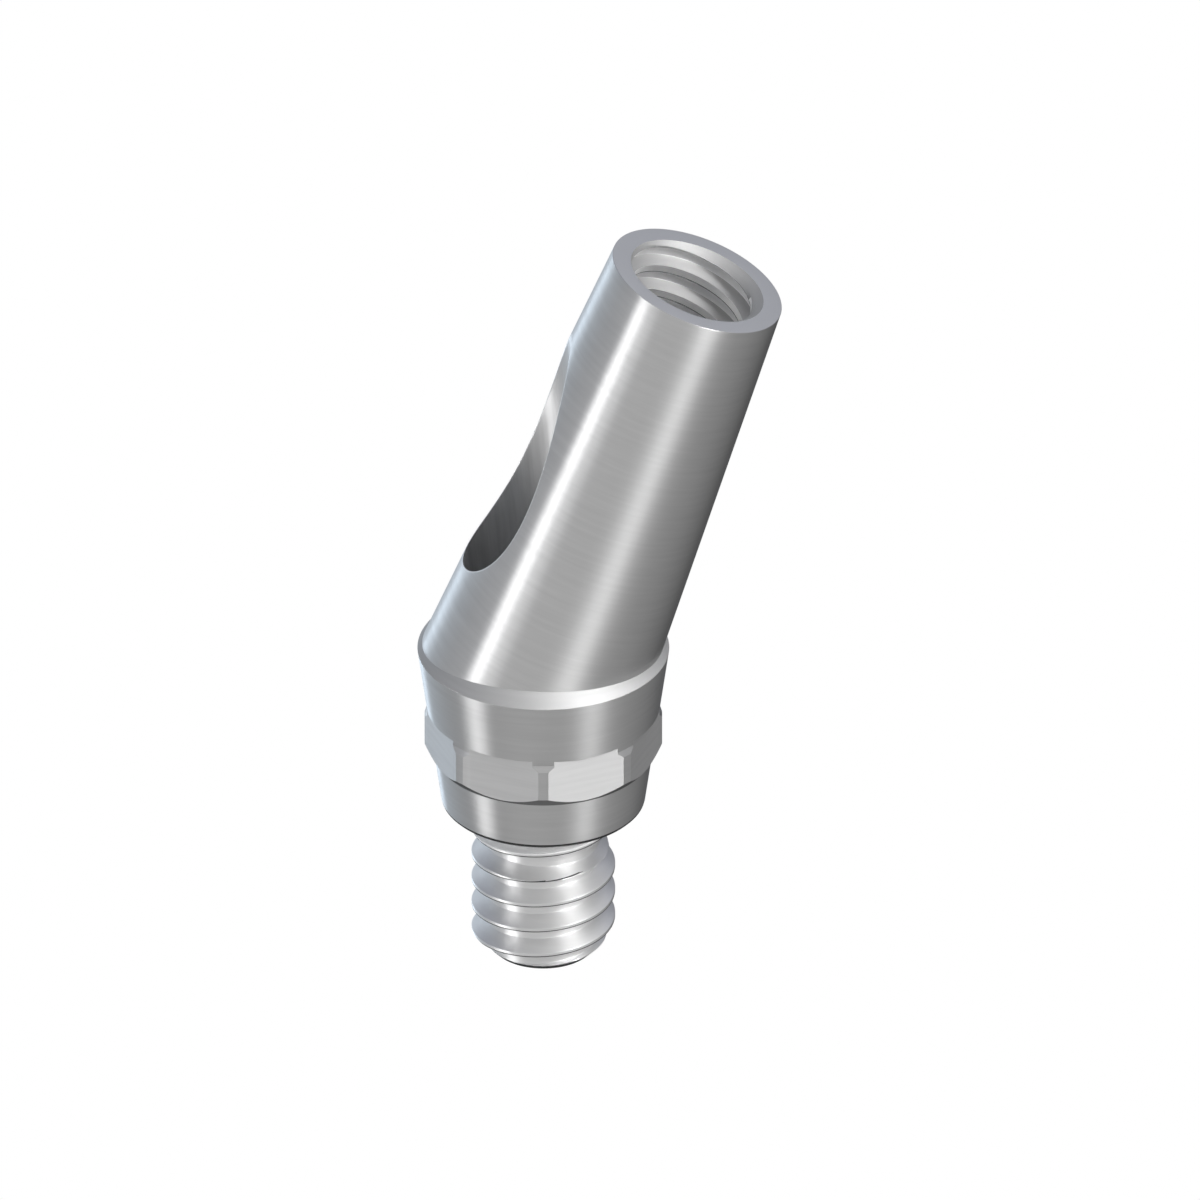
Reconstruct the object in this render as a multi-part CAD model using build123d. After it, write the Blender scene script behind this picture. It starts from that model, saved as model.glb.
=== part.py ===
"""Angled dental abutment with its captive screw, in millimetres.

The origin is on the implant axis, at the widest circle of the shoulder.  +Z points up
along the implant axis, and the post leans towards +X.
"""

from build123d import *
from math import cos, pi, radians, sin, tan
import os

# Post: a slim cone that leans away from the implant axis
post_lean = 20.0
post_length = 6.25
post_top_d = 2.5
post_taper = 3.0

# Tapped hole in the top of the post
tap_minor_d = 1.7
tap_pitch = 0.4
tap_thread_depth = 0.15
tap_crest = 0.11
tap_depth = 2.0
tap_mouth_d = 1.96
tap_start = -0.33
tap_thread_top = -0.02
drill_point_angle = 118.0

# Shoulder band and the tapered seat below it
shoulder_d = 3.5
shoulder_rise = 0.25
seat_half_angle = 8.0
seat_length = 0.983

# Octagon that stops the abutment from turning
octagon_corner_d = 3.3
octagon_flats = 3.1
octagon_edge = 0.085
octagon_length = 0.525
octagon_chamfer_angle = 40.0
octagon_sides = 8
facet_overcut = 0.07

# Bottom of the pilot, which carries on the seat's taper below the octagon
base_length = 2.42
pilot_edge = 0.03

# Screw head chamber
chamber_roof = 0.15
chamber_floor = -1.3

# Driver channel, drilled a little off the implant axis
channel_d = 1.8
channel_lean = 5.0
channel_crossing = -1.0
channel_length = 6.8

# Captive screw
screw_d = 2.0
screw_pitch = 0.4
screw_thread_depth = 0.2165
screw_crest = 0.05
screw_length = 4.75
screw_point = 0.295
thread_start = -2.87
thread_top = -2.07
relief_centre = -3.02
head_seat = 0.15
head_height = 1.25
head_edge = 0.06

# Six-lobed driver socket in the screw head
socket_d = 1.05
lobe_d = 0.32
lobe_count = 6
socket_depth = 0.75

# Clearances of the screw in its bore and chamber
guide_play = 0.05
head_play = 0.05

# Thread form, and how far the cutting shapes reach past the faces that they cut
flank_half_angle = 30.0
thread_overlap = 0.03
tool_overrun = 0.4


def post_point(along, out=0.0):
    """A point at a distance along the post's axis, and out from it towards +X."""
    lean = radians(post_lean)
    return (along * sin(lean) + out * cos(lean), 0, along * cos(lean) - out * sin(lean))


def on_post(along):
    """The plane square to the post's axis at a distance along it."""
    lean = radians(post_lean)
    return Plane(post_point(along), x_dir=(cos(lean), 0, -sin(lean)), z_dir=(sin(lean), 0, cos(lean)))


def turned(points):
    """A solid turned about the Z axis from (radius, height) points."""
    section = make_face(Polyline(*[(r, 0, z) for r, z in points], close=True))
    return revolve(section, axis=Axis.Z)


def root_flat(pitch, crest, depth):
    """Width of a groove's flat root, from the width of the crest that it leaves."""
    return pitch - crest - 2 * depth * tan(radians(flank_half_angle))


def thread_section(root, mouth, root_width):
    """A V with a flat root, opening from the root's radius to the mouth's, across the X axis."""
    half_root = root_width / 2
    half_mouth = half_root + abs(mouth - root) * tan(radians(flank_half_angle))
    corners = [(root, 0, -half_root), (mouth, 0, -half_mouth), (mouth, 0, half_mouth), (root, 0, half_root)]
    return make_face(Polyline(*corners, close=True))


def helical_cut(section, radius, pitch, foot, top):
    """The section carried up a right-handed helix that starts over the X axis."""
    path = Helix(pitch=pitch, height=top - foot, radius=radius)
    return Pos(0, 0, foot) * sweep(section, path=path, is_frenet=True)


def post():
    """The leaning cone, cut off flat where it meets the shoulder's lower edge."""
    below = shoulder_d / 2
    top_radius = post_top_d / 2
    foot_radius = top_radius + (post_length + below) * tan(radians(post_taper))
    cone = on_post((post_length - below) / 2) * Cone(foot_radius, top_radius, post_length + below)
    upper_half = Box(4 * post_length, 4 * shoulder_d, 2 * post_length, align=(Align.CENTER, Align.CENTER, Align.MIN))
    return cone & upper_half


def taper_radius(depth):
    """Radius of the seat's taper at a depth below the shoulder's edge."""
    return shoulder_d / 2 - depth * tan(radians(seat_half_angle))


def chamfer_foot():
    """Depth at which the chamfer under the octagon runs into the pilot's taper."""
    steep = tan(radians(octagon_chamfer_angle))
    octagon_bottom = seat_length + octagon_length
    reach = octagon_corner_d / 2 - taper_radius(octagon_bottom)
    return octagon_bottom + reach / (steep - tan(radians(seat_half_angle)))


def base():
    """Shoulder, seat, octagon and pilot, turned in one and then milled."""
    rim = shoulder_d / 2
    corner = octagon_corner_d / 2
    pilot_foot = taper_radius(base_length)
    blank = turned(
        [
            (0, shoulder_rise),
            (rim - shoulder_rise, shoulder_rise),
            (rim, 0),
            (taper_radius(seat_length), -seat_length),
            (corner, -seat_length - octagon_edge),
            (corner, -seat_length - octagon_length),
            (taper_radius(chamfer_foot()), -chamfer_foot()),
            (pilot_foot, pilot_edge - base_length),
            (pilot_foot - pilot_edge, -base_length),
            (0, -base_length),
        ]
    )
    return blank - octagon_cutter()


def octagon_cutter():
    """What the milling of the facets takes away."""
    height = chamfer_foot() - seat_length + facet_overcut
    corner_radius = octagon_flats / 2 / cos(pi / octagon_sides)
    ring = Cylinder(shoulder_d, height, align=(Align.CENTER, Align.CENTER, Align.MIN))
    core = extrude(RegularPolygon(corner_radius, octagon_sides), height)
    return Pos(0, 0, -chamfer_foot()) * (ring - core)


def tapped_hole():
    """The drilling, the thread and the countersink, in the order in which they are cut."""
    minor = tap_minor_d / 2
    mouth = tap_mouth_d / 2
    point = minor / tan(radians(drill_point_angle / 2))
    drilling = turned([(0, -tap_depth - point), (minor, -tap_depth), (minor, tool_overrun), (0, tool_overrun)])
    countersink = turned([(0, -mouth), (mouth + tool_overrun, tool_overrun), (0, tool_overrun)])
    return drilling, tap_thread(), countersink


def tap_thread():
    """The groove that the tap leaves, from the mouth to a turn above the hole's floor."""
    minor = tap_minor_d / 2
    root_width = root_flat(tap_pitch, tap_crest, tap_thread_depth)
    section = thread_section(minor + tap_thread_depth, minor - thread_overlap, root_width)
    turns_down = int((tap_depth + tap_start - tap_pitch) / tap_pitch)
    return helical_cut(section, minor, tap_pitch, tap_start - turns_down * tap_pitch, tap_thread_top)


def screw_space():
    """Head chamber and guide bore, on the implant axis."""
    chamber = head_radius() + head_play
    guide = screw_d / 2 + guide_play
    return turned(
        [
            (0, chamber_roof),
            (chamber, chamber_roof),
            (chamber, chamber_floor),
            (guide, chamber_floor),
            (guide, pilot_edge - base_length),
            (guide + pilot_edge, -base_length),
            (guide + pilot_edge, -base_length - tool_overrun),
            (0, -base_length - tool_overrun),
        ]
    )


def driver_channel():
    """The slanted drilling that breaks out of the post's side."""
    drilling = Cylinder(channel_d / 2, channel_length, align=(Align.CENTER, Align.CENTER, Align.MIN))
    return Pos(0, 0, channel_crossing) * Rotation(0, -channel_lean, 0) * drilling


def head_radius():
    """The head's rim rests on the chamber's floor all round the guide bore."""
    return screw_d / 2 + guide_play + head_seat


def abutment_body():
    body = post() + base()
    body = body - driver_channel() - screw_space()
    for cut in tapped_hole():
        body = body - on_post(post_length) * cut
    return body


def screw_blank():
    """The turned screw before its thread is cut."""
    head = head_radius()
    shank = screw_d / 2
    head_top = chamber_floor + head_height
    return turned(
        [
            (0, head_top),
            (head - head_edge, head_top),
            (head, head_top - head_edge),
            (head, chamber_floor),
            (shank, chamber_floor),
            (shank, screw_point - screw_length),
            (shank - screw_point, -screw_length),
            (0, -screw_length),
        ]
    )


def screw_grooves():
    """The screw's helical groove, and the ring groove that cuts across its upper turns."""
    root = screw_d / 2 - screw_thread_depth
    root_width = root_flat(screw_pitch, screw_crest, screw_thread_depth)
    section = thread_section(root, screw_d / 2 + thread_overlap, root_width)
    turns_down = int((screw_length + thread_start) / screw_pitch) + 1
    foot = thread_start - turns_down * screw_pitch
    relief = Pos(0, 0, relief_centre) * revolve(section, axis=Axis.Z)
    return helical_cut(section, screw_d / 2, screw_pitch, foot, thread_top), relief


def driver_socket():
    """Six-lobed recess for the driver."""
    outline = Circle(socket_d / 2)
    for spot in PolarLocations(socket_d / 2, lobe_count):
        outline += spot * Circle(lobe_d / 2)
    return Pos(0, 0, chamber_floor + head_height) * extrude(outline, -socket_depth)


def abutment_screw():
    screw = screw_blank() - driver_socket()
    for cut in screw_grooves():
        screw = screw - cut
    return screw


def save(name, shape):
    solid = shape.solid()
    export_step(solid, f"parts/{name}.step")
    print(name, "volume", round(solid.volume, 4), "mm3, valid", solid.is_valid)


os.makedirs("parts", exist_ok=True)
save("abutment_body", abutment_body())
save("abutment_screw", abutment_screw())
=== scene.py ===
from math import cos, pi, radians, sin, tan

import bmesh
import bpy
import numpy as np
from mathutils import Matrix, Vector


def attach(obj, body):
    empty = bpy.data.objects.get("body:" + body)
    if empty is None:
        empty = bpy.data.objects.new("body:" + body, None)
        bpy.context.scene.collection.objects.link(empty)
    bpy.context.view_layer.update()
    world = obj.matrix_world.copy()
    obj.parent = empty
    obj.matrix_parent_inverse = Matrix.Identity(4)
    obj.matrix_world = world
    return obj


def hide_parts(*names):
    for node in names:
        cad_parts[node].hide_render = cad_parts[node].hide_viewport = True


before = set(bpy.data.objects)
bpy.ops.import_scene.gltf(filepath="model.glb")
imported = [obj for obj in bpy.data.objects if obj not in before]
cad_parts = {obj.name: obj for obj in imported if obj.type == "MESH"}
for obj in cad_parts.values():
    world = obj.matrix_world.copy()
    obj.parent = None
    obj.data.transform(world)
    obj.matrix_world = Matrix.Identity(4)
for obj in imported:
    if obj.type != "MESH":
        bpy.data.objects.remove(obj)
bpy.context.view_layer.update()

# Camera.  The photograph is a parallel view from the front, 30 degrees down, with the
# implant axis upright and 72 pixels to the millimetre in its 1200 pixel frame.
MM = 0.001
VIEW_DOWN = radians(30)
FRAME_PIXELS = 1200
PIXELS_PER_MM = 72
FRAME_WIDTH = FRAME_PIXELS / PIXELS_PER_MM * MM
FRAME_CENTRE = Vector((0.7868, 0, 0.7538)) * MM
CAMERA_AWAY = 0.05

camera_data = bpy.data.cameras.new("photograph view")
camera_data.type = "ORTHO"
camera_data.ortho_scale = FRAME_WIDTH
camera_data.clip_start = 0.001
camera_data.clip_end = 1.0
camera = bpy.data.objects.new("photograph view", camera_data)
camera.rotation_euler = (radians(90) - VIEW_DOWN, 0, 0)
looking = Vector((0, cos(VIEW_DOWN), -sin(VIEW_DOWN)))
camera.location = FRAME_CENTRE - CAMERA_AWAY * looking
bpy.context.collection.objects.link(camera)
bpy.context.scene.camera = camera
bpy.context.scene.view_settings.view_transform = "Standard"

# Abutment body.  One piece of titanium alloy, turned and milled from bar: a leaning
# conical post with a tapped top, a slanted driver channel, and an octagonal taper seat.
# Lengths are in millimetres: R is a radius, Z a height on the implant axis.
POST_LEAN = radians(20)
POST_LENGTH = 6.25
POST_TOP_R = 1.25
POST_TAPER = tan(radians(3))
RIM_R = 1.75
SEAT_TAPER = tan(radians(8))
SEAT_Z = -0.983
LEDGE_Z = -0.913
CORNER_R = 1.65
FLAT_R = 1.55
OCTAGON_TOP = -1.068
OCTAGON_BOTTOM = -1.508
OCTAGON_CHAMFER = tan(radians(40))
PILOT_Z = -1.668
BASE_Z = -2.42
CHANNEL_R = 0.9
CHANNEL_LEAN = radians(5)
CHANNEL_CROSSING = -1.0
CHAMBER_R = 1.25
CHAMBER_ROOF = 0.15
CHAMBER_FLOOR = -1.3
GUIDE_R = 1.05
# how far the soft edges reach, and the height of the band above the pilot's edge that is painted
# dark as shade
EDGE = 0.006
RIM_EDGE = 0.022
PILOT_EDGE = 0.03
PAINTED_SHADE_RIM = 0.03
EDGE_STEPS = 7

post_axis = np.array([sin(POST_LEAN), 0, cos(POST_LEAN)])
post_side = np.array([cos(POST_LEAN), 0, -sin(POST_LEAN)])
depth_axis = np.array([0, 1.0, 0])
channel_axis = np.array([-sin(CHANNEL_LEAN), 0, cos(CHANNEL_LEAN)])
channel_side = np.array([cos(CHANNEL_LEAN), 0, sin(CHANNEL_LEAN)])


def reach_post(starts, direction, inset=0.0):
    """Where straight lines leave the post's cone: the larger root of |P|^2 - t^2 = R(t)^2,
    with t the height of P along the post's axis and R(t) the cone's radius there."""
    foot_r = POST_TOP_R + POST_LENGTH * POST_TAPER - inset
    direction = np.broadcast_to(direction, starts.shape)
    t0 = starts @ post_axis
    dt = direction @ post_axis
    r0 = foot_r - POST_TAPER * t0
    dr = -POST_TAPER * dt
    a = (direction * direction).sum(-1) - dt * dt - dr * dr
    b = 2 * ((starts * direction).sum(-1) - t0 * dt - r0 * dr)
    c = (starts * starts).sum(-1) - t0 * t0 - r0 * r0
    far = (-b + np.sqrt(b * b - 4 * a * c)) / (2 * a)
    return starts + far[..., None] * direction


def on_post(turn, t, inset=0.0):
    """Points of the post's cone at angles round its axis (0 towards the lean) and heights t
    along it: t times the axis, and out from there by the cone's radius at t."""
    r = POST_TOP_R + (POST_LENGTH - t) * POST_TAPER - inset
    out = np.cos(turn)[..., None] * post_side + np.sin(turn)[..., None] * depth_axis
    return r[..., None] * out + t[..., None] * post_axis


def post_coordinates(points):
    """Angle round the post's axis and height along it: the arctangent of a point's two parts
    across the axis, and its part along the axis."""
    turn = np.arctan2(points @ depth_axis, points @ post_side)
    return np.mod(turn, 2 * pi), points @ post_axis


def about_z(turn, r, z):
    """Points at angles, radii and heights about the implant axis: (r cos, r sin, z)."""
    turn, r, z = np.broadcast_arrays(turn, r, z)
    return np.stack([r * np.cos(turn), r * np.sin(turn), z], -1)


def rows_between(first, last, shares):
    """Rows from one row to another at given shares s of the way: first + s (last - first)."""
    shares = np.asarray(shares)[:, None, None]
    return first + (last - first) * shares


def rounded(before, corner, after, steps):
    """Rows of a soft edge: the parabola (1-s)^2 B + 2s(1-s) C + s^2 A from the row before to the
    row after, which aims at the corner's row."""
    s = np.linspace(0, 1, steps)[:, None, None]
    return (1 - s) ** 2 * before + 2 * s * (1 - s) * corner + s * s * after


def sheet(rows, closed=True, finish=0):
    """Points, faces and finish of a grid of rows that go anticlockwise.  A closed sheet joins
    each row's last point to its first."""
    rows = np.asarray(rows)
    n, m = rows.shape[:2]
    index = np.arange(n * m).reshape(n, m)
    if closed:
        index = np.hstack([index, index[:, :1]])
    quads = np.stack([index[:-1, :-1], index[1:, :-1], index[1:, 1:], index[:-1, 1:]], -1)
    return rows.reshape(-1, 3), quads.reshape(-1, 4), finish


def flat_ring(outer, inner, centre, side, finish=0):
    """Triangles between two rings in one plane: all points are taken in order of their angle
    about a centre, and each makes a triangle with the one before it and the other ring's last."""
    arms = [points - centre for points in (outer, inner)]
    angles = [np.mod(np.arctan2(arm @ depth_axis, arm @ side), 2 * pi) for arm in arms]
    outer, inner = (points[np.argsort(a)] for points, a in zip((outer, inner), angles))
    n, m = len(outer), len(inner)
    order = np.argsort(np.append(*map(np.sort, angles)), kind="stable")
    is_outer = (np.arange(n + m) < n)[order]
    o = np.cumsum(is_outer) - 1
    i = np.cumsum(~is_outer) - 1
    from_outer = np.stack([(o - 1) % n, o % n, n + i % m], -1)
    from_inner = np.stack([n + i % m, n + (i - 1) % m, o % n], -1)
    triangles = np.where(is_outer[:, None], from_outer, from_inner)
    return np.vstack([outer, inner]), triangles, finish


WELD = 3e-7
NO_LENGTH = 1e-8
SHARP = radians(14)


def piece(name, sheets, finishes):
    """One closed mesh in metres, from sheets in millimetres whose border points coincide.  The
    borders are welded, and an edge between faces that turn by more than 14 degrees stays sharp."""
    points = np.vstack([p for p, _, _ in sheets]) * MM
    firsts = np.cumsum([0] + [len(p) for p, _, _ in sheets[:-1]])
    faces = [face for (_, f, _), first in zip(sheets, firsts) for face in (f + first).tolist()]
    mesh = bpy.data.meshes.new(name)
    mesh.from_pydata(points.tolist(), [], faces)
    kinds = np.concatenate([np.broadcast_to(kind, len(f)) for _, f, kind in sheets])
    mesh.polygons.foreach_set("material_index", kinds)
    work = bmesh.new()
    work.from_mesh(mesh)
    bmesh.ops.remove_doubles(work, verts=work.verts, dist=WELD)
    bmesh.ops.dissolve_degenerate(work, edges=work.edges, dist=NO_LENGTH)
    bmesh.ops.recalc_face_normals(work, faces=work.faces)
    work.to_mesh(mesh)
    work.free()
    mesh.shade_smooth()
    mesh.set_sharp_from_angle(angle=SHARP)
    for surface in finishes:
        mesh.materials.append(surface)
    made = bpy.data.objects.new(name, mesh)
    bpy.context.collection.objects.link(made)
    return made


def linear(code):
    """An sRGB hex colour as linear values, with full alpha."""
    parts = [int(code[i : i + 2], 16) / 255 for i in (0, 2, 4)]
    return [p / 12.92 if p <= 0.04045 else ((p + 0.055) / 1.055) ** 2.4 for p in parts] + [1.0]


VECTOR_MATH = "ShaderNodeVectorMath"


def add_node(tree, kind, inputs=(), **settings):
    """One node with its settings.  Each input is a value, or an output of another node."""
    node = tree.nodes.new(kind)
    for key, value in settings.items():
        setattr(node, key, value)
    for key, value in dict(inputs).items():
        if isinstance(value, bpy.types.NodeSocket):
            tree.links.new(value, node.inputs[key])
        else:
            node.inputs[key].default_value = value
    return node


ROUGH_SWING = 0.015


def machined(
    name, axis, centre, spread=0.9, rough=0.36, colour="CCCCCC", reach=1.2, gap=0.07, depth=0.035
):
    """Bare titanium with tool lines round an axis.  The lines spread light along the axis: the
    tangent is C x N, where C = axis x (P - centre) runs round the turned surface.  Reach is the
    size of their noise across the axis in mm and gap its size along the axis, so that the longer
    one is the lines' way; depth is the share by which they shade the colour."""
    made = bpy.data.materials.new(name)
    made.use_nodes = True
    tree = made.node_tree
    tree.nodes.clear()
    axis = tuple(axis)
    place = add_node(tree, "ShaderNodeTexCoord").outputs["Object"]
    from_centre = {0: place, 1: tuple(centre)}
    arm = add_node(tree, VECTOR_MATH, from_centre, operation="SUBTRACT").outputs[0]
    round_it = add_node(tree, VECTOR_MATH, {0: axis, 1: arm}, operation="CROSS_PRODUCT")
    turned = add_node(
        tree,
        "ShaderNodeVectorTransform",
        {0: round_it.outputs[0]},
        vector_type="VECTOR",
        convert_from="OBJECT",
        convert_to="WORLD",
    )
    normal = add_node(tree, "ShaderNodeNewGeometry").outputs["Normal"]
    across = {0: turned.outputs[0], 1: normal}
    along = add_node(tree, VECTOR_MATH, across, operation="CROSS_PRODUCT")
    # noise drawn out round the axis and packed along it
    height = add_node(tree, VECTOR_MATH, {0: arm, 1: axis}, operation="DOT_PRODUCT")
    stretched = add_node(tree, VECTOR_MATH, {0: arm, 3: 1 / (reach * MM)}, operation="SCALE")
    up_axis = {0: axis, 3: height.outputs["Value"]}
    deep = add_node(tree, VECTOR_MATH, up_axis, operation="SCALE")
    closer = {0: deep.outputs[0], 3: (1 / gap - 1 / reach) / MM}
    packed = add_node(tree, VECTOR_MATH, closer, operation="SCALE")
    summed = {0: stretched.outputs[0], 1: packed.outputs[0]}
    spot = add_node(tree, VECTOR_MATH, summed, operation="ADD")
    noise = {"Vector": spot.outputs[0], "Scale": 1.0, "Detail": 3.0}
    lines = add_node(tree, "ShaderNodeTexNoise", noise).outputs[0]
    ends = {0: lines, 1: 0.3, 2: 0.7}
    shade = add_node(tree, "ShaderNodeMapRange", {**ends, 3: 1 - depth, 4: 1 + depth})
    tinted = {0: linear(colour)[:3], 1: shade.outputs[0]}
    lined = add_node(tree, VECTOR_MATH, tinted, operation="MULTIPLY")
    swing = {**ends, 3: rough + ROUGH_SWING, 4: rough - ROUGH_SWING}
    dulled = add_node(tree, "ShaderNodeMapRange", swing)
    metal = add_node(
        tree,
        "ShaderNodeBsdfPrincipled",
        {
            "Base Color": lined.outputs[0],
            "Metallic": 1.0,
            "Roughness": dulled.outputs[0],
            "Anisotropic": spread,
            "Tangent": along.outputs[0],
        },
    )
    add_node(tree, "ShaderNodeOutputMaterial", {"Surface": metal.outputs[0]})
    return made


UPRIGHT = (0, 0, 1)
ORIGIN = (0, 0, 0)

# Turned titanium: long, narrow highlights run along the axis.  Its feed marks are a few
# hundredths of a millimetre apart, too fine to show, and are drawn coarser, 0.07 mm apart.
turned_on_post = machined("titanium_turned_on_post", post_axis, ORIGIN)
turned_on_base = machined("titanium_turned_on_base", UPRIGHT, ORIGIN)
# Drilled titanium: duller, with streaks along the channel.  A drill's own are finer than shows,
# and these are drawn coarser, 0.12 mm apart, and strong enough to stand for the bands of
# reflected light along the channel, so they are partly painted reflection.  Its colour is paler
# than the turned metal's: painted light against the shade deep in the channel.
drilled_channel = machined(
    "titanium_drilled_channel",
    channel_axis,
    (0, 0, CHANNEL_CROSSING * MM),
    spread=0.6,
    rough=0.47,
    colour="DEDEDE",
    reach=0.12,
    gap=2.0,
    depth=0.12,
)
# Milled titanium: an even pale sheen on each flat of the octagon
milled_facet = machined(
    "titanium_milled_facet", UPRIGHT, ORIGIN, spread=0.65, rough=0.49, colour="D4D4D4"
)


def even(name, axis, rough, colour):
    """Bare titanium whose sheen is the same in every direction."""
    return machined(name, axis, ORIGIN, spread=0.0, rough=rough, colour=colour)


# Tapped titanium, under a matt countersunk mouth, in lit and shaded copies: the crests are
# painted pale as light that the hole's own shade takes from them, and the flanks and root are
# painted grey as shade
tapped_groove_painted_shade = even("titanium_tapped_groove", post_axis, 0.6, "C4C4C4")
tapped_crest_painted_light = even("titanium_tapped_crest", post_axis, 0.5, "FCFCFC")
tapped_mouth = even("titanium_tapped_mouth", post_axis, 0.68, "B4B4B4")
# Shoulder band: turned and left matt, so its highlight is a broad soft spot
shoulder_band = even("titanium_shoulder_band", UPRIGHT, 0.62, "BCBCBC")
# The chamfer under the octagon and the narrow edges: painted shade, drawn darker than bare
# metal for the shade on these faces, which face down or lie under an overhang, so that they
# stand as dark lines
painted_shade_chamfer = even("titanium_painted_shade_chamfer", UPRIGHT, 0.5, "707070")
painted_shade_edge = even("titanium_painted_shade_edge", post_axis, 0.5, "484848")
# Faced titanium: a pale, even ring on top of the post
faced_top = even("titanium_faced_top", post_axis, 0.4, "E4E4E4")

BODY_FINISHES = [
    turned_on_post,
    turned_on_base,
    drilled_channel,
    tapped_groove_painted_shade,
    faced_top,
    tapped_crest_painted_light,
    tapped_mouth,
    painted_shade_edge,
    shoulder_band,
    painted_shade_chamfer,
    milled_facet,
]
ON_POST, ON_BASE, IN_CHANNEL, IN_GROOVE, ON_TOP_FACE, ON_CREST = range(6)
IN_MOUTH, ON_EDGE, ON_SHOULDER, ON_CHAMFER, ON_FACET = range(6, 11)

# Columns of the body: angles about the implant axis, with some on the edges of the octagon's
# faces, and close together where the channel's rim runs up and down the post.
SPACING = radians(1.2)
RIM_SPACING = radians(2)
LEDGE_STEP = 0.0005
SIDES = 8
facet_half = np.arccos(FLAT_R / CORNER_R)
ledge_half = np.arccos(FLAT_R / (RIM_R + LEDGE_Z * SEAT_TAPER))
FINE_ANGLES = 20001
all_angles = np.linspace(0, 2 * pi, FINE_ANGLES)


def channel_rim(turn, radius, inset=0.0):
    """Where lines along the channel's axis, at a radius from it, leave the post."""
    out = np.cos(turn)[..., None] * channel_side + np.sin(turn)[..., None] * depth_axis
    return reach_post(radius * out + np.array([0, 0, CHANNEL_CROSSING]), channel_axis, inset)


def foot_of(turn):
    """Where the 45 degree shoulder, followed up and in from the rim, meets the post's cone."""
    inward = about_z(turn, -1.0, 1.0)
    return reach_post(about_z(turn, RIM_R, 0.0) + 2.0 * inward, -inward)


def filled(knots, spacing):
    """Values from the first knot to just before the last, with one on each knot and the gaps
    between knots cut into equal steps no wider than the spacing."""
    knots = np.sort(knots)
    spans = zip(knots[:-1], knots[1:])
    parts = [np.linspace(a, b, int(np.ceil((b - a) / spacing)) + 1)[:-1] for a, b in spans]
    return np.concatenate(parts)


fine_rim_turn, fine_rim_height = post_coordinates(channel_rim(all_angles, CHANNEL_R + RIM_EDGE))
rim_start = int(fine_rim_turn.argmin())
rim_end = int(fine_rim_turn.argmax())
rim_half = (fine_rim_turn[rim_end] - fine_rim_turn[rim_start]) / 2
tangent_height = fine_rim_height[rim_start]
low = slice(rim_start, rim_end + 1)
past_end, to_start = slice(rim_end, -1), slice(rim_start + 1)
high_turn = np.append(fine_rim_turn[past_end], fine_rim_turn[to_start])[::-1]
high_angle = np.append(all_angles[past_end], all_angles[to_start] + 2 * pi)[::-1]

fine_foot_turn, _ = post_coordinates(foot_of(all_angles[:-1]))
tangents = np.interp([pi - rim_half, pi + rim_half], fine_foot_turn, all_angles[:-1])
corner_angles = np.arange(SIDES) * pi / 4
half_face = pi / SIDES
knots = [corner_angles + s * (half_face - facet_half) for s in (-1, 1)]
knots += [
    corner_angles + s * (half_face - ledge_half) + LEDGE_STEP * t for s in (-1, 1) for t in (-1, 1)
]
knots = np.mod(np.concatenate(knots), 2 * pi)
inside = (knots > tangents[0]) & (knots < tangents[1])
outer_knots = np.where(knots[~inside] > pi, knots[~inside] - 2 * pi, knots[~inside])
outer_columns = filled(np.append(outer_knots, [tangents[0], tangents[1] - 2 * pi]), SPACING)
inner_knots = (np.interp(knots[inside], all_angles[:-1], fine_foot_turn) - pi) / rim_half
inner_knots = np.append(np.arcsin(inner_knots), [-pi / 2, pi / 2])
inner_turn = pi + rim_half * np.sin(np.append(filled(inner_knots, RIM_SPACING), pi / 2))
inner_columns = np.interp(inner_turn, fine_foot_turn, all_angles[:-1])
column = np.append(outer_columns, inner_columns[:-1])
outside_count = len(outer_columns)

# The channel's rim, as angles round the channel's axis, and the two halves of its ring
low_angle = np.interp(inner_turn, fine_rim_turn[low], all_angles[low])
high_rim_angle = np.interp(inner_turn, high_turn, high_angle)
rim_ring = np.append(low_angle[:-1], high_rim_angle[::-1][:-1])
low_rim = channel_rim(low_angle, CHANNEL_R + RIM_EDGE)
high_rim = channel_rim(high_rim_angle, CHANNEL_R + RIM_EDGE)

# Outside of the post, in a lower and an upper sheet that part along the rim
foot = foot_of(column)
foot_turn, foot_height = post_coordinates(foot)
POST_STEPS = 10
WALL_STEPS = 12


def post_rows(turn, start, end, steps):
    """Rows up the post's cone, in equal steps between two heights given for each column."""
    shares = np.linspace(0, 1, steps)[:, None]
    return on_post(np.broadcast_to(turn, (steps, len(turn))), start + (end - start) * shares)


def split_at_rim(rim_points, turn):
    """Heights at which a sheet of the post ends on the rim, or on the level of its widest place."""
    heights = np.full(len(turn), tangent_height)
    heights[outside_count:] = (rim_points @ post_axis)[:-1]
    return heights


top_start = POST_LENGTH - EDGE
lower_post = post_rows(foot_turn, foot_height, split_at_rim(low_rim, foot_turn), POST_STEPS)
lower_post[0] = foot
upper_post = post_rows(foot_turn, split_at_rim(high_rim, foot_turn), top_start, POST_STEPS)
# both sheets close round the last column, where the rim's two halves meet at the tangent
top_ring = on_post(foot_turn, np.full(len(column), top_start))
top_corner = on_post(foot_turn, np.full(len(column), POST_LENGTH))
top_face = on_post(foot_turn, np.full(len(column), POST_LENGTH), EDGE)
top_edge = rounded(top_ring, top_corner, top_face, EDGE_STEPS)

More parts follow.
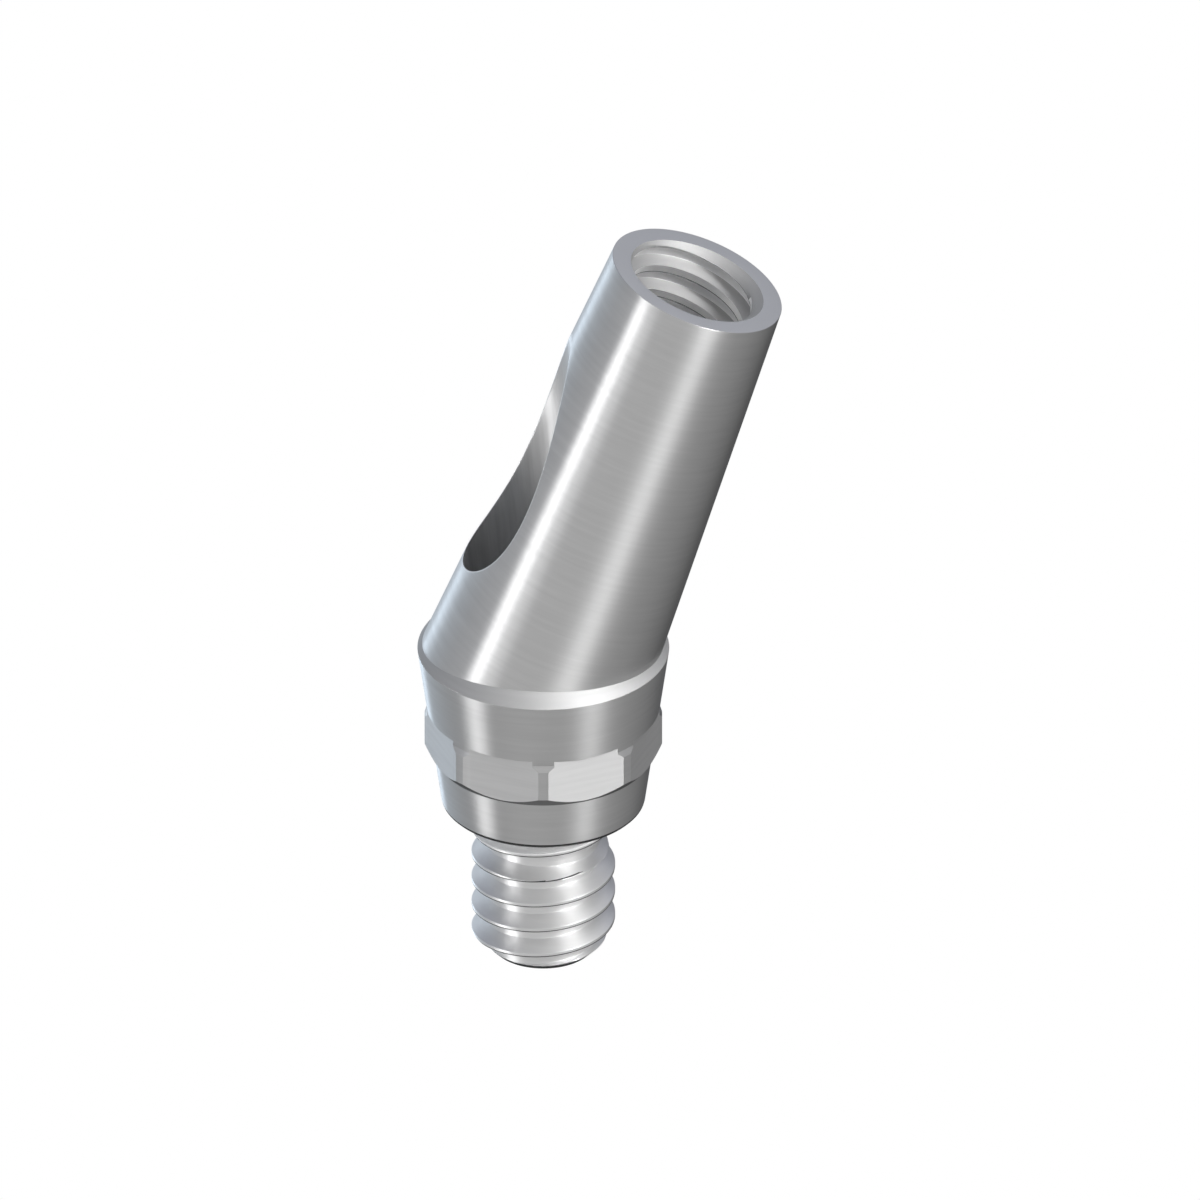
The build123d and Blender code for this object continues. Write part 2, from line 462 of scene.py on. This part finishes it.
# Rounded rim, channel wall and roof
rim_edge = rounded(
    channel_rim(rim_ring, CHANNEL_R + RIM_EDGE),
    channel_rim(rim_ring, CHANNEL_R),
    channel_rim(rim_ring, CHANNEL_R, RIM_EDGE),
    EDGE_STEPS,
)
channel_out = np.cos(rim_ring)[:, None] * channel_side + np.sin(rim_ring)[:, None] * depth_axis
channel_start = CHANNEL_R * channel_out + np.array([0, 0, CHANNEL_CROSSING])
to_roof = (CHAMBER_ROOF - channel_start[:, 2]) / channel_axis[2]
channel_foot = channel_start + to_roof[:, None] * channel_axis
channel_wall = rows_between(channel_foot, rim_edge[-1], np.linspace(0, 1, WALL_STEPS))

# Turned and milled base, from the chamber's roof down the bore, out and up to the shoulder
face_r = np.minimum(FLAT_R / np.cos(np.mod(column, pi / 4) - half_face), CORNER_R)
ledge_r = RIM_R + LEDGE_Z * SEAT_TAPER
seat_foot_r = RIM_R + SEAT_Z * SEAT_TAPER
on_ledge = face_r < ledge_r
ledge_z = np.where(on_ledge, LEDGE_Z, SEAT_Z)
ledge_out = np.where(on_ledge, ledge_r, seat_foot_r)
chamfer_rise = (OCTAGON_TOP - SEAT_Z) / (CORNER_R - seat_foot_r)
face_top = np.where(on_ledge, LEDGE_Z, SEAT_Z + (face_r - seat_foot_r) * chamfer_rise)
face_bottom = OCTAGON_BOTTOM - (CORNER_R - face_r) / OCTAGON_CHAMFER


def taper(z):
    """Radius of the seat's taper at a height: the rim's radius plus the height times the slope."""
    return RIM_R + z * SEAT_TAPER


def ring(r, z):
    """A row of the base: points at a radius and height for each column's angle."""
    return about_z(column, r, z)


base_rows, base_finish = [], []


def turn_to(rows, finish=ON_BASE):
    """Adds rows to the base; the finish is that of the bands that end in them."""
    base_rows.extend(rows)
    base_finish.extend([np.broadcast_to(finish, len(column))] * len(rows))


turn_to([ring(CHAMBER_R, CHAMBER_ROOF), ring(CHAMBER_R, CHAMBER_FLOOR)])
guide_corner = ring(GUIDE_R, CHAMBER_FLOOR)
guide_lip = ring(GUIDE_R + EDGE, CHAMBER_FLOOR)
turn_to(rounded(guide_lip, guide_corner, ring(GUIDE_R, CHAMBER_FLOOR - EDGE), steps=5))
bore_end = ring(GUIDE_R, BASE_Z + PILOT_EDGE)
turn_to(rounded(bore_end, ring(GUIDE_R, BASE_Z), ring(GUIDE_R + PILOT_EDGE, BASE_Z), steps=6))
turn_to([ring(taper(BASE_Z) - PILOT_EDGE, BASE_Z)])
# a band just above the pilot's lower edge is painted dark, as shade
pilot_low = BASE_Z + PILOT_EDGE + PAINTED_SHADE_RIM
painted_shade_rows = [ring(taper(BASE_Z), BASE_Z + PILOT_EDGE), ring(taper(pilot_low), pilot_low)]
turn_to(painted_shade_rows, ON_EDGE)
turn_to([ring(taper(z), z) for z in np.linspace(pilot_low, PILOT_Z, 5)[1:]])
# the chamfer under the octagon is painted dark, as shade
turn_to([ring(face_r, face_bottom)], ON_CHAMFER)
SAME_R = 1e-6
on_flat = (face_r + np.roll(face_r, -1)) / 2 < CORNER_R - SAME_R
turn_to([ring(face_r, face_top)], np.where(on_flat, ON_FACET, ON_BASE))
turn_to([ring(ledge_out, ledge_z)])
ABOVE_LEDGE = 0.02
turn_to([ring(taper(z), z) for z in np.linspace(LEDGE_Z + ABOVE_LEDGE, -EDGE, 6)[:-1]])
turn_to([ring(taper(-EDGE), -EDGE)])
rim_rows = rounded(base_rows[-1], ring(RIM_R, 0.0), ring(RIM_R - EDGE, EDGE), EDGE_STEPS)
turn_to(rim_rows[1:], ON_SHOULDER)
turn_to([foot], ON_SHOULDER)
base_finish = np.concatenate(base_finish[1:])

# Tapped hole: columns from 0 to a full turn, and rows that follow the thread down
TAP_R = 0.85
TAP_MAJOR_R = 1.0
TAP_ROOT = 0.1168
TAP_PITCH = 0.4
TAP_START = -0.33
TAP_DEPTH = 2.0
TAP_TOP = -0.11
TAP_END = -1.5
TAP_MOUTH_R = 0.98
# heights over which the groove begins and ends, roundings of its root and crest, and how far
# the edge painted dark as shade under each crest and the matt mouth reach
TAP_FADE_IN = 0.02
TAP_FADE_OUT = 0.05
TAP_COLUMNS = 256
SOFT_ROOT = 0.006
SOFT_CREST = 0.004
DARK_EDGE = 0.01
MOUTH_MARGIN = 0.03
DRILL_POINT = tan(radians(59))
FLANK = tan(radians(30))


def soft_max(a, b, width):
    """The larger of two values, with the corner between them rounded over a width w:
    half of a + b + sqrt((a - b)^2 + w^2)."""
    return (a + b + np.sqrt((a - b) ** 2 + width * width)) / 2


def helical_rows(start, pitch, low_z, high_z, steps, columns):
    """Angles and heights for rows that climb a pitch in a turn, z = level + pitch turn / 2 pi,
    held between two heights, with the height of the groove's middle nearest to each point.  The
    steps say how far above the middle of its groove each row lies."""
    turn = np.linspace(0, 2 * pi, columns + 1)
    first = low_z - pitch - np.mod(low_z - start, pitch)
    middles = first + pitch * np.arange(int(np.ceil((high_z - first) / pitch)))
    level = np.append((middles[:, None] + steps).ravel(), middles[-1] + pitch)
    climb = pitch * turn / (2 * pi)
    z = np.clip(level[:, None] + climb, low_z, high_z)
    off = np.mod(z - climb - start + pitch / 2, pitch) - pitch / 2
    return turn, z, z - off


def thread_steps(pitch, half_root, depth, corner):
    """Steps for rows that lie close together on both sides of the four corners of a groove, and
    singly on its flats."""
    half_mouth = half_root + depth * FLANK
    corners = np.array([half_root, half_mouth, pitch - half_mouth, pitch - half_root])
    close = corners[:, None] + corner * np.array([-1.5, -0.6, 0.0, 0.6, 1.5])
    middles = [0.0, (half_root + half_mouth) / 2, pitch / 2, pitch - (half_root + half_mouth) / 2]
    return np.sort(np.append(close.ravel(), middles))


tap_steps = thread_steps(TAP_PITCH, TAP_ROOT / 2, TAP_MAJOR_R - TAP_R, SOFT_ROOT)
tap_turn, tap_z, tap_middle = helical_rows(
    TAP_START, TAP_PITCH, -TAP_DEPTH, 0.0, tap_steps, TAP_COLUMNS
)
tap_off = np.abs(tap_z - tap_middle)
tap_groove = TAP_MAJOR_R - soft_max((tap_off - TAP_ROOT / 2) / FLANK, 0.0, SOFT_ROOT)
tap_begun = np.clip((TAP_TOP + TAP_FADE_IN - tap_middle) / TAP_FADE_IN, 0, 1)
tap_ended = np.clip((tap_middle - TAP_END + TAP_FADE_OUT) / TAP_FADE_OUT, 0, 1)
tap_whole = tap_begun * tap_ended
tap_groove = np.clip(tap_groove - TAP_R, 0, None) * tap_whole
tap_r = soft_max(TAP_R + tap_groove, TAP_MOUTH_R + tap_z, SOFT_CREST)


def on_top(turn, r, z):
    """Points at angles and radii round the post's axis, and heights above its top face."""
    turn, r, z = np.broadcast_arrays(turn, r, z)
    out = np.cos(turn)[..., None] * post_side + np.sin(turn)[..., None] * depth_axis
    return r[..., None] * out + (z[..., None] + POST_LENGTH) * post_axis


tap_rows = on_top(tap_turn, tap_r, tap_z)


def thread_zones(z, middle, half_root, half_mouth, flank, crest, edge, width):
    """A finish for each face of a thread, from its height above the middle of its groove: the
    flanks', the crest's and root's, and that of the thin edge under the crest, which is painted
    dark as shade."""
    off = (z[:-1, :-1] + z[1:, :-1]) / 2 - middle[:-1, :-1]
    zones = np.where((np.abs(off) > half_mouth) | (np.abs(off) < half_root), crest, flank)
    return np.where(np.abs(off - half_mouth) < width, edge, zones)


tap_half_mouth = TAP_ROOT / 2 + (TAP_MAJOR_R - TAP_R) * FLANK
# the thin edge under each crest of the tapped hole is painted dark as shade
tap_zones = thread_zones(
    tap_z, tap_middle, TAP_ROOT / 2, tap_half_mouth, IN_GROOVE, ON_CREST, ON_EDGE, DARK_EDGE
)
in_mouth = (TAP_MOUTH_R + tap_z > TAP_R + tap_groove - MOUTH_MARGIN)[:-1, :-1]
tap_zones = np.where(in_mouth, IN_MOUTH, tap_zones)
drill_share = np.array([0.0, 0.3, 0.65, 1.0])[:, None]
drill_z = -TAP_DEPTH - TAP_R * (1 - drill_share) / DRILL_POINT
drill_rows = on_top(tap_turn, tap_r[0] * drill_share, drill_z)

top_centre = POST_LENGTH * post_axis
roof_centre = channel_foot.mean(0)
body = piece(
    "machined_body",
    [
        sheet(lower_post, finish=ON_POST),
        sheet(upper_post, finish=ON_POST),
        sheet(top_edge, finish=ON_POST),
        flat_ring(top_edge[-1], tap_rows[-1][:-1], top_centre, post_side, finish=ON_TOP_FACE),
        sheet(drill_rows, closed=False, finish=IN_GROOVE),
        sheet(tap_rows, closed=False, finish=tap_zones.ravel()),
        sheet(np.vstack([channel_wall, rim_edge[::-1]]), finish=IN_CHANNEL),
        flat_ring(base_rows[0], channel_foot, roof_centre, post_side * [1, 0, 0], finish=ON_BASE),
        sheet(base_rows, finish=base_finish),
    ],
    BODY_FINISHES,
)
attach(body, "abutment")
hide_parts("abutment_body")

# Abutment screw.  Turned titanium, captive in the base: a head with a six-lobed driver socket,
# a plain shank, an M2 thread and a ring groove that relieves the thread's upper turns.
HEAD_R = 1.2
HEAD_TOP = -0.05
SCREW_R = 1.0
SCREW_PITCH = 0.4
SCREW_START = -2.87
SCREW_ROOT_R = 0.7835
ROOT_HALF = 0.05
THREAD_TOP = -2.0
RELIEF_Z = -3.02
SCREW_END = -4.75
SCREW_POINT = 0.295
TIP_EDGE = 0.06
SOCKET_R = 0.525
LOBE_R = 0.16
SOCKET_DEPTH = 0.75
HEAD_EDGE = 0.06
SOCKET_EDGE = 0.02
# grid of the thread: columns round it, and even steps between the rows at its corners
SCREW_COLUMNS = 200
EVEN_STEPS = 45
EVEN_SHIFT = 0.37
SOFT_SCREW_ROOT = 0.005
SOFT_CORNER = 0.008
THREAD_FADE = 0.1
# half widths of the edge painted dark as shade on a full crest and on one that the relief has
# cut, and how far in from the full radius a crest counts as cut and is still marked
CREST_EDGE = 0.011
CUT_CREST_EDGE = 0.005
CUT_CREST = 0.012
LOWEST_CREST = 0.06
# height of the band at the screw's tip that is painted dark as shade
PAINTED_SHADE_TIP = 0.022
SAME_LEVEL = 0.01

# Cut thread: its lines run round the screw, so that each flank carries a bright spot.  Under
# the pilot, where the thread runs out, it is matt and painted pale: painted light against the
# shade that the pilot casts there.
thread_cut = machined(
    "titanium_thread_cut", UPRIGHT, ORIGIN, spread=0.55, rough=0.42, colour="E8E8E8"
)
run_out_painted_light = even("titanium_run_out_painted_light", UPRIGHT, 0.75, "FCFCFC")
SCREW_FINISHES = [thread_cut, painted_shade_edge, run_out_painted_light]
THREADED, SCREW_EDGE, RUN_OUT = range(3)


def groove_radius(off):
    """Radius in a V groove at a distance from its middle: 30 degree flanks and a rounded root,
    up to the screw's full radius."""
    flank = SCREW_ROOT_R + soft_max((off - ROOT_HALF) / FLANK, 0.0, SOFT_SCREW_ROOT)
    return -soft_max(-flank, -SCREW_R, SOFT_CREST)


screw_steps = thread_steps(SCREW_PITCH, ROOT_HALF, SCREW_R - SCREW_ROOT_R, SOFT_CORNER)
even_steps = (np.arange(EVEN_STEPS) + EVEN_SHIFT) * SCREW_PITCH / EVEN_STEPS
screw_steps = np.sort(np.append(screw_steps, even_steps))
screw_half_mouth = ROOT_HALF + (SCREW_R - SCREW_ROOT_R) * FLANK
relief_top = RELIEF_Z + screw_half_mouth
screw_turn, screw_z, screw_middle = helical_rows(
    SCREW_START, SCREW_PITCH, SCREW_END + TIP_EDGE, THREAD_TOP, screw_steps, SCREW_COLUMNS
)
fade = np.clip((THREAD_TOP - SCREW_PITCH / 2 - screw_middle) / THREAD_FADE, 0, 1)
screw_r = SCREW_R - (SCREW_R - groove_radius(np.abs(screw_z - screw_middle))) * fade
relief_r = groove_radius(np.abs(screw_z - RELIEF_Z))
point_r = SCREW_R - SCREW_POINT + (screw_z - SCREW_END)
screw_r = -soft_max(-screw_r, -relief_r, SOFT_CREST)
screw_r = -soft_max(-screw_r, -point_r, SOFT_CREST)
thread_rows = about_z(screw_turn, screw_r, screw_z)

# Finish of each face, from its lower corner: an edge painted dark as shade under each crest and
# at the tip, which is thinner where the relief has cut the crest down, and the matt run-out above
# the relief, painted pale as light against the pilot's shade
face_z = screw_z[:-1, :-1]
face_out = screw_r[:-1, :-1]
dark_edge = np.where(face_out > SCREW_R - CUT_CREST, CREST_EDGE, CUT_CREST_EDGE)
crest_zones = thread_zones(
    screw_z, screw_middle, ROOT_HALF, screw_half_mouth, THREADED, THREADED, SCREW_EDGE, dark_edge
)
# the lip of the relief groove is painted dark as shade as well
relief_lip = np.abs(face_z - relief_top) < CUT_CREST_EDGE
painted_shade_faces = ((crest_zones == SCREW_EDGE) | relief_lip) & (face_out > SCREW_R - LOWEST_CREST)
painted_shade_faces |= face_z < SCREW_END + TIP_EDGE + PAINTED_SHADE_TIP
first_turn = (screw_middle - SCREW_PITCH * screw_turn / (2 * pi))[:-1, :-1]
first_turn = (first_turn > SCREW_START - SAME_LEVEL) & (face_z > relief_top)
screw_zones = np.where(painted_shade_faces, SCREW_EDGE, np.where(first_turn, RUN_OUT, THREADED))
end_shares = np.array([[0.0], [0.5], [0.97], [1.0]])
end_rows = about_z(screw_turn, (SCREW_R - SCREW_POINT) * end_shares, SCREW_END)
# the end's outer ring is painted dark as shade
end_zones = np.repeat([THREADED, THREADED, THREADED, SCREW_EDGE], len(screw_turn) - 1)

# Six-lobed socket: the larger radius of its core and of a lobe on each sixth of a turn
lobe_turn = np.mod(screw_turn + pi / 6, pi / 3) - pi / 6
reach = np.clip(LOBE_R**2 - (SOCKET_R * np.sin(lobe_turn)) ** 2, 0, None)
lobe_r = np.where(reach > 0, SOCKET_R * np.cos(lobe_turn) + np.sqrt(reach), 0)
socket_r = np.maximum(SOCKET_R, lobe_r)


def screw_ring(r, z):
    """A row of the screw: points at a radius and height for each of its columns' angles."""
    return about_z(screw_turn, r, z)


socket_floor = HEAD_TOP - SOCKET_DEPTH
head_rows = [
    screw_ring(SCREW_R, CHAMBER_FLOOR),
    screw_ring(HEAD_R - EDGE, CHAMBER_FLOOR),
    screw_ring(HEAD_R, CHAMBER_FLOOR + EDGE),
    screw_ring(HEAD_R, HEAD_TOP - HEAD_EDGE),
    screw_ring(HEAD_R - HEAD_EDGE, HEAD_TOP),
    screw_ring(socket_r + SOCKET_EDGE, HEAD_TOP),
    screw_ring(socket_r, HEAD_TOP - SOCKET_EDGE),
    screw_ring(socket_r, socket_floor),
    screw_ring(socket_r * 0.5, socket_floor),
    screw_ring(0.0, socket_floor),
]
screw = piece(
    "machined_screw",
    [
        sheet(np.vstack([end_rows, thread_rows[:1]]), closed=False, finish=end_zones),
        sheet(thread_rows, closed=False, finish=screw_zones.ravel()),
        sheet(np.vstack([thread_rows[-1:], head_rows]), closed=False),
    ],
    SCREW_FINISHES,
)
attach(screw, "screw")
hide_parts("abutment_screw")

# Studio.  A white floor and backdrop, and a world whose strips of light are seen in the metal.
# The camera sees plain white in both, and the floor isn't seen in the metal.
FLOOR_Z = -0.015
floor_mesh = bpy.data.meshes.new("floor")
floor_mesh.from_pydata([(-1, -1, 0), (1, -1, 0), (1, 1, 0), (-1, 1, 0)], [], [(0, 1, 2, 3)])
floor = bpy.data.objects.new("floor", floor_mesh)
floor.location.z = FLOOR_Z
floor.visible_glossy = False
bpy.context.collection.objects.link(floor)
paper = bpy.data.materials.new("white paper")
paper.use_nodes = True
paper.node_tree.nodes.clear()
seen = add_node(paper.node_tree, "ShaderNodeLightPath")
matt = add_node(paper.node_tree, "ShaderNodeBsdfDiffuse", {"Color": linear("F2F2F2")})
WHITE = (1, 1, 1, 1)
bright = add_node(paper.node_tree, "ShaderNodeEmission", {"Color": WHITE, "Strength": 1.0})
mixed = add_node(
    paper.node_tree,
    "ShaderNodeMixShader",
    {0: seen.outputs["Is Camera Ray"], 1: matt.outputs[0], 2: bright.outputs[0]},
)
add_node(paper.node_tree, "ShaderNodeOutputMaterial", {"Surface": mixed.outputs[0]})
floor_mesh.materials.append(paper)

AROUND = [
    # angle from the camera's side towards the right, brightness, share of blue
    (-180, 0.5, 0.1),
    (-150, 0.95, 0.1),
    (-120, 0.65, 0.07),
    (-100, 0.56, 0.02),
    (-60, 0.65, 0),
    (-30, 0.68, 0),
    (0, 0.62, 0),
    (40, 0.48, 0),
    (80, 0.46, 0),
    (110, 0.35, 0),
    (130, 0.23, 0),
    (150, 0.09, 0),
    (180, 0.4, 0.05),
]
LAMPS = [
    # angle as above, height angle, half width in degrees, brightness, share of blue
    (-67, -9, 6.5, 8, 0),
    (-62, -26, 7, 3.6, 0),
    (47, 34, 8.5, 38, 0),
    (-147, -24, 7, 2.5, 0.15),
]
world = bpy.data.worlds.new("studio")
world.use_nodes = True
tree = world.node_tree
tree.nodes.clear()
direction = add_node(tree, "ShaderNodeTexCoord").outputs["Generated"]
parts = add_node(tree, "ShaderNodeSeparateXYZ", {0: direction})
toward = add_node(tree, "ShaderNodeMath", {0: parts.outputs[1], 1: -1.0}, operation="MULTIPLY")
sides = {0: parts.outputs[0], 1: toward.outputs[0]}
angle = add_node(tree, "ShaderNodeMath", sides, operation="ARCTAN2")
share = add_node(tree, "ShaderNodeMapRange", {0: angle.outputs[0], 1: -pi, 2: pi, 3: 0.0, 4: 1.0})
around = add_node(tree, "ShaderNodeValToRGB", {0: share.outputs[0]})
ramp = around.color_ramp
while len(ramp.elements) < len(AROUND):
    ramp.elements.new(0.5)
# every stop is placed before any is coloured, because a move can change their order
for stop, (at, _, _) in zip(ramp.elements, AROUND):
    stop.position = (at + 180) / 360
for stop, (_, level, blue) in zip(ramp.elements, AROUND):
    stop.color = (level * (1 - blue), level, level * (1 + blue), 1)


def cap(aim, start, end, low, high):
    """A value that goes from low to high as a direction comes nearer to the aim; start and end
    are cosines of the angle between them."""
    pair = {0: direction, 1: aim}
    near = add_node(tree, VECTOR_MATH, pair, operation="DOT_PRODUCT")
    shares = {0: near.outputs["Value"], 1: start, 2: end, 3: low, 4: high}
    return add_node(tree, "ShaderNodeMapRange", shares).outputs[0]


# Above the side walls a pale roof, brightest over the front right and a little darker at the back
# left.  Below the horizon the light sinks, and it is darkest under the back.  A pale table lies
# straight below.
up = parts.outputs[2]
height = add_node(tree, "ShaderNodeMapRange", {0: up, 1: 0.1, 2: 0.6, 3: 0.0, 4: 1.0})
overhead = cap((0.3, -0.5, 0.81), 0.1, 0.8, 0, 1)
roof = add_node(
    tree,
    "ShaderNodeMix",
    {0: overhead, 6: (0.44, 0.46, 0.54, 1), 7: (0.78, 0.78, 0.78, 1)},
    data_type="RGBA",
)
sky = add_node(
    tree,
    "ShaderNodeMix",
    {0: height.outputs[0], 6: around.outputs[0], 7: roof.outputs[2]},
    data_type="RGBA",
)
ground = add_node(tree, "ShaderNodeMapRange", {0: up, 1: -0.75, 2: -0.35, 3: 0.62, 4: 1.0})
sunk = {0: sky.outputs[2], 1: ground.outputs[0]}
dimmed = add_node(tree, VECTOR_MATH, sunk, operation="MULTIPLY")
below = cap((0, 0.6, -0.8), 0.85, 0.95, 1.0, 0.1)
behind_left = cap((-0.6, 0.4, 0.7), 0.75, 0.95, 1.0, 0.65)
shaded = add_node(tree, "ShaderNodeMath", {0: below, 1: behind_left}, operation="MULTIPLY")
dark = {0: dimmed.outputs[0], 1: shaded.outputs[0]}
total = add_node(tree, VECTOR_MATH, dark, operation="MULTIPLY")
table = cap((0, 0, -1), 0.94, 0.99, 0.0, 0.8)
total = add_node(tree, VECTOR_MATH, {0: total.outputs[0], 1: table}, operation="ADD")
for at, rise, half_width, level, blue in LAMPS:
    at, rise = radians(at), radians(rise)
    aim = (sin(at) * cos(rise), -cos(at) * cos(rise), sin(rise))
    # each lamp's edge is soft, from 1.3 to 0.7 of its half width
    rim, core = (cos(radians(half_width * share)) for share in (1.3, 0.7))
    spot = cap(aim, rim, core, 0.0, level)
    cool = {0: spot, 1: (1 - blue, 1, 1 + blue)}
    tinted = add_node(tree, VECTOR_MATH, cool, operation="MULTIPLY")
    summed = {0: total.outputs[0], 1: tinted.outputs[0]}
    total = add_node(tree, VECTOR_MATH, summed, operation="ADD")
light = add_node(tree, "ShaderNodeBackground", {"Color": total.outputs[0], "Strength": 1.0})
white = add_node(tree, "ShaderNodeBackground", {"Color": WHITE, "Strength": 1.0})
path = add_node(tree, "ShaderNodeLightPath")
both = add_node(
    tree,
    "ShaderNodeMixShader",
    {0: path.outputs["Is Camera Ray"], 1: light.outputs[0], 2: white.outputs[0]},
)
add_node(tree, "ShaderNodeOutputWorld", {"Surface": both.outputs[0]})
bpy.context.scene.world = world
